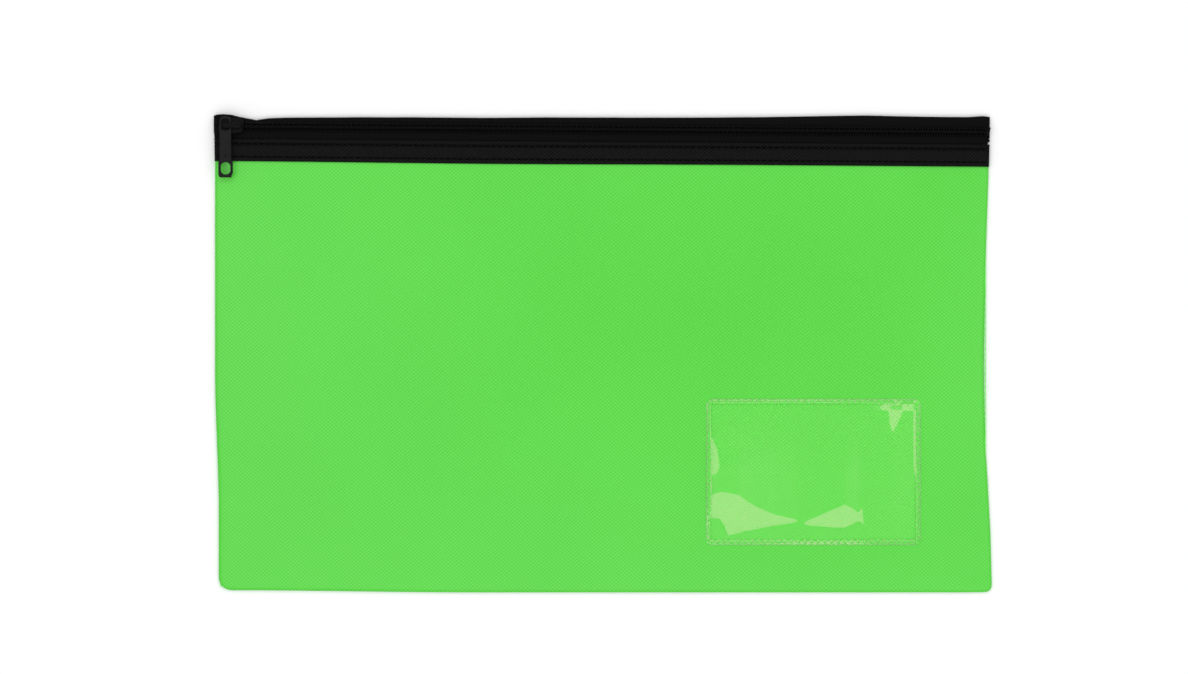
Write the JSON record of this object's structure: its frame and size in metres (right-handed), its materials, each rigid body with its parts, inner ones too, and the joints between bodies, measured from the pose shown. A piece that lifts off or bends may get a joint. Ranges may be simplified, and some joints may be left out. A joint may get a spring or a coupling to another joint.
{
  "type": "cash deposit bag",
  "caption": "Flat zip-top cash deposit bag of coated green cloth, with a black coil zip, a sliding zipper with a pull tab, and a clear sewn card window.",
  "frame": {"origin": "middle of the bag's footprint, on the surface that its back panel lies on", "axes": "+X along the width and the zip, +Y towards the zip, +Z out of the front face"},
  "size_m": [0.36, 0.2224, 0.0094],
  "materials": {
    "green_cloth": "coated plain weave, satin",
    "zip_tape": "woven polyester tape, matte",
    "black_cloth": "coated plain weave, matte",
    "zip_coil": "nylon, satin",
    "filler_cord": "twisted yarn, matte",
    "black_thread": "polyester thread, soft sheen",
    "painted_zinc": "black lacquer, satin",
    "green_thread": "polyester thread, soft sheen",
    "clear_film": "clear flexible film, glossy"
  },
  "bodies": {
    "bag": {"front_panel": "green_cloth", "back_panel": "green_cloth", "front_tape": "zip_tape", "back_tape": "zip_tape", "front_facing": "black_cloth", "front_coil": "zip_coil", "back_coil": "zip_coil", "front_coil_cord": "filler_cord", "back_coil_cord": "filler_cord", "front_coil_stitching": "black_thread", "back_coil_stitching": "black_thread", "facing_outer_stitching": "black_thread", "facing_inner_stitching": "black_thread", "back_tape_outer_stitching": "black_thread", "back_tape_inner_stitching": "black_thread", "left_seam_stitching": "green_thread", "right_seam_stitching": "green_thread", "bottom_seam_stitching": "green_thread", "window_film": "clear_film", "window_stitching": "green_thread"},
    "slider": {"slider_body": "painted_zinc"},
    "tab": {"pull_tab": "painted_zinc"}
  },
  "joints": [
    {"name": "zip_slide", "type": "slide", "parent": "bag", "child": "slider", "axis": [1, -0.0075, 0], "range_m": [0, 0.34]},
    {"name": "tab_swivel", "type": "hinge", "parent": "slider", "child": "tab", "pos_m": [-0.1754, 0.10587, 0.0075], "axis": [0, 0, 1], "range_deg": [-180, 35]}
  ]
}
